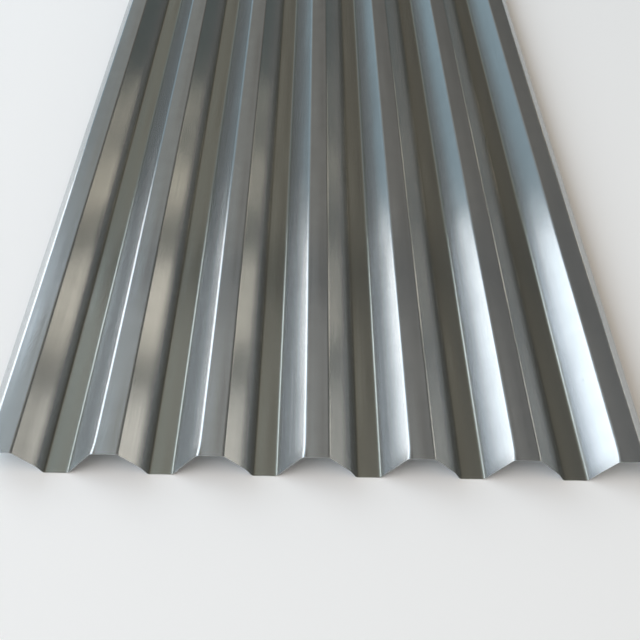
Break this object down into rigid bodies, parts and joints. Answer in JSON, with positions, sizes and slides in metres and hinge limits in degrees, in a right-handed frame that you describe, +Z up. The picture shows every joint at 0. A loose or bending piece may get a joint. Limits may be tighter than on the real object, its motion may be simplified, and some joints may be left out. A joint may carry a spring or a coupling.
{
  "type": "galvanized roofing sheet",
  "caption": "Roll-formed galvanized steel roofing sheet with straight trapezoidal ribs, flat crests and valleys, and short sloping legs at both side edges for lapping.",
  "frame": {"origin": "under the middle of the sheet, on the plane that the valley undersides rest on", "axes": "+Y along the ribs, +X across them, +Z up out of the crests"},
  "size_m": [0.8074, 2, 0.0355],
  "materials": {
    "galvanized_steel": "satin zinc"
  },
  "bodies": {
    "root": {"roofing_sheet": "galvanized_steel"}
  },
  "joints": []
}
